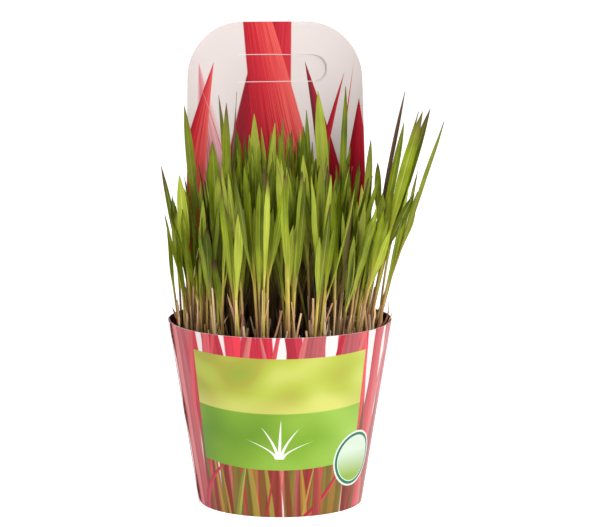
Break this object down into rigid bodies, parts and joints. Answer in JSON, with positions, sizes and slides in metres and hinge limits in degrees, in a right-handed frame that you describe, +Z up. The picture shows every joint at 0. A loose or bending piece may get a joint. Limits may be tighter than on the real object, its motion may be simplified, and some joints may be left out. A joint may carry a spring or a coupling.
{
  "type": "potted ornamental grass",
  "caption": "Young Japanese blood grass in a nursery pot, standing in a tapered card sleeve with a rounded header panel at the back.",
  "frame": {"origin": "centre of the pot's base, on the surface it stands on", "axes": "+Z up along the pot's axis; -Y is the front, where the sleeve carries its label; +Y is the back, where the header panel rises; +X is the right-hand side seen from the front"},
  "size_m": [0.1714, 0.1785, 0.2865],
  "materials": {
    "card": "gloss printed",
    "pot_plastic": "moulded satin black",
    "soil": "damp, crumbly",
    "grass": "leaf, satin"
  },
  "bodies": {
    "root": {"card_sleeve": "card", "grower_pot": "pot_plastic", "soil": "soil", "tuft_01": "grass", "tuft_02": "grass", "tuft_03": "grass", "tuft_04": "grass", "tuft_05": "grass", "tuft_06": "grass", "tuft_07": "grass", "tuft_08": "grass", "tuft_09": "grass", "tuft_10": "grass", "tuft_11": "grass", "tuft_12": "grass", "tuft_13": "grass", "tuft_14": "grass", "tuft_15": "grass", "tuft_16": "grass", "tuft_17": "grass", "tuft_18": "grass", "tuft_19": "grass", "tuft_20": "grass", "tuft_21": "grass", "tuft_22": "grass", "tuft_23": "grass", "tuft_24": "grass", "tuft_25": "grass", "tuft_26": "grass", "tuft_27": "grass", "tuft_28": "grass", "tuft_29": "grass", "tuft_30": "grass", "tuft_31": "grass", "tuft_32": "grass", "tuft_33": "grass", "tuft_34": "grass", "tuft_35": "grass", "tuft_36": "grass", "tuft_37": "grass", "tuft_38": "grass", "tuft_39": "grass", "tuft_40": "grass", "tuft_41": "grass", "tuft_42": "grass"}
  },
  "joints": []
}
